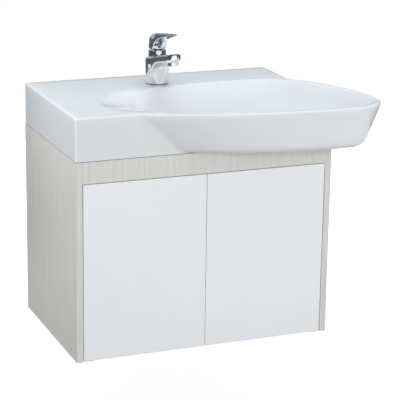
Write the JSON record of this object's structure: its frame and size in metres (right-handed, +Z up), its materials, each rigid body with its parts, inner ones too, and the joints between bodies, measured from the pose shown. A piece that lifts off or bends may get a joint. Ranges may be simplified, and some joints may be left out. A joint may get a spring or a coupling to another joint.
{
  "type": "vanity unit",
  "caption": "Wall-hung bathroom vanity cabinet with doors under a ceramic basin whose bowl swells past the front and right side, with a single-lever tap.",
  "frame": {"origin": "on the wall plane, midway between the two hanging holes in the cabinet's upper rear rail", "axes": "+X to the right as seen from the front, +Y into the wall, +Z up"},
  "size_m": [0.7, 0.5002, 0.678],
  "materials": {
    "glazed_ceramic": "glossy white glaze",
    "wood_grain_board": "pale laminate with a fine upright grain",
    "white_gloss_door": "white gloss film over board",
    "bare_wood": "plain beech",
    "zinc": "die-cast zinc",
    "steel": "zinc-plated",
    "brass": "machined",
    "nylon": "moulded",
    "rubber": "black",
    "sealant": "grey bead",
    "chrome": "polished",
    "temperature_mark": "red half and blue half"
  },
  "bodies": {
    "cabinet": {"basin": "glazed_ceramic", "left_side_panel": "wood_grain_board", "right_side_panel": "wood_grain_board", "bottom_panel": "wood_grain_board", "front_top_rail": "wood_grain_board", "rear_top_rail": "wood_grain_board", "rear_bottom_rail": "wood_grain_board", "wood_dowels": "bare_wood", "cam_locks": "zinc", "cam_bolts": "steel", "lower_pivot_plates": "steel", "pivot_plate_screws": "steel", "tap_stud": "steel", "steel_horseshoe": "steel", "cartridge_nut": "brass", "tap_stud_nut": "brass", "upper_pivot_bushes": "nylon", "magnet_catches": "nylon", "cartridge_housing": "nylon", "aerator_insert": "nylon", "door_buffers": "rubber", "tap_gasket": "rubber", "rubber_horseshoe": "rubber", "waste_top_gasket": "rubber", "waste_cone_gasket": "rubber", "basin_seal": "sealant", "tap_body": "chrome", "neck_ring": "chrome", "aerator_collar": "chrome", "waste_body": "chrome", "waste_nut": "chrome", "trap_inlet_pipe": "chrome", "trap_inlet_nut": "chrome", "trap_body": "chrome", "trap_cup": "chrome", "trap_outlet_pipe": "chrome", "trap_outlet_nut": "chrome", "wall_plate": "chrome"},
    "left_door": {"left_door": "white_gloss_door", "left_upper_pin": "steel", "left_lower_bush": "nylon", "left_strike": "steel"},
    "right_door": {"right_door": "white_gloss_door", "right_upper_pin": "steel", "right_lower_bush": "nylon", "right_strike": "steel"},
    "tap_carrier": {"cartridge_carrier": "nylon", "carrier_pin": "steel"},
    "tap_lever": {"tap_lever": "chrome", "cartridge_stem": "brass", "lever_grub_screw": "steel", "temperature_mark": "temperature_mark"},
    "waste_plug": {"waste_plug": "chrome", "plug_stem": "chrome"}
  },
  "joints": [
    {"name": "left_door_hinge", "type": "hinge", "parent": "cabinet", "child": "left_door", "pos_m": [-0.271, -0.377, -0.2], "axis": [0, 0, -1], "range_deg": [0, 100]},
    {"name": "right_door_hinge", "type": "hinge", "parent": "cabinet", "child": "right_door", "pos_m": [0.271, -0.377, -0.2], "axis": [0, 0, 1], "range_deg": [0, 100]},
    {"name": "tap_turn", "type": "hinge", "parent": "cabinet", "child": "tap_carrier", "pos_m": [-0.012, -0.097, 0.207], "axis": [0, 0, 1], "range_deg": [-50, 50]},
    {"name": "tap_lift", "type": "hinge", "parent": "tap_carrier", "child": "tap_lever", "pos_m": [-0.012, -0.097, 0.207], "axis": [-1, 0, 0], "range_deg": [0, 20]},
    {"name": "plug_slide", "type": "slide", "parent": "cabinet", "child": "waste_plug", "axis": [0, 0, 1], "range_m": [0, 0.008]}
  ]
}
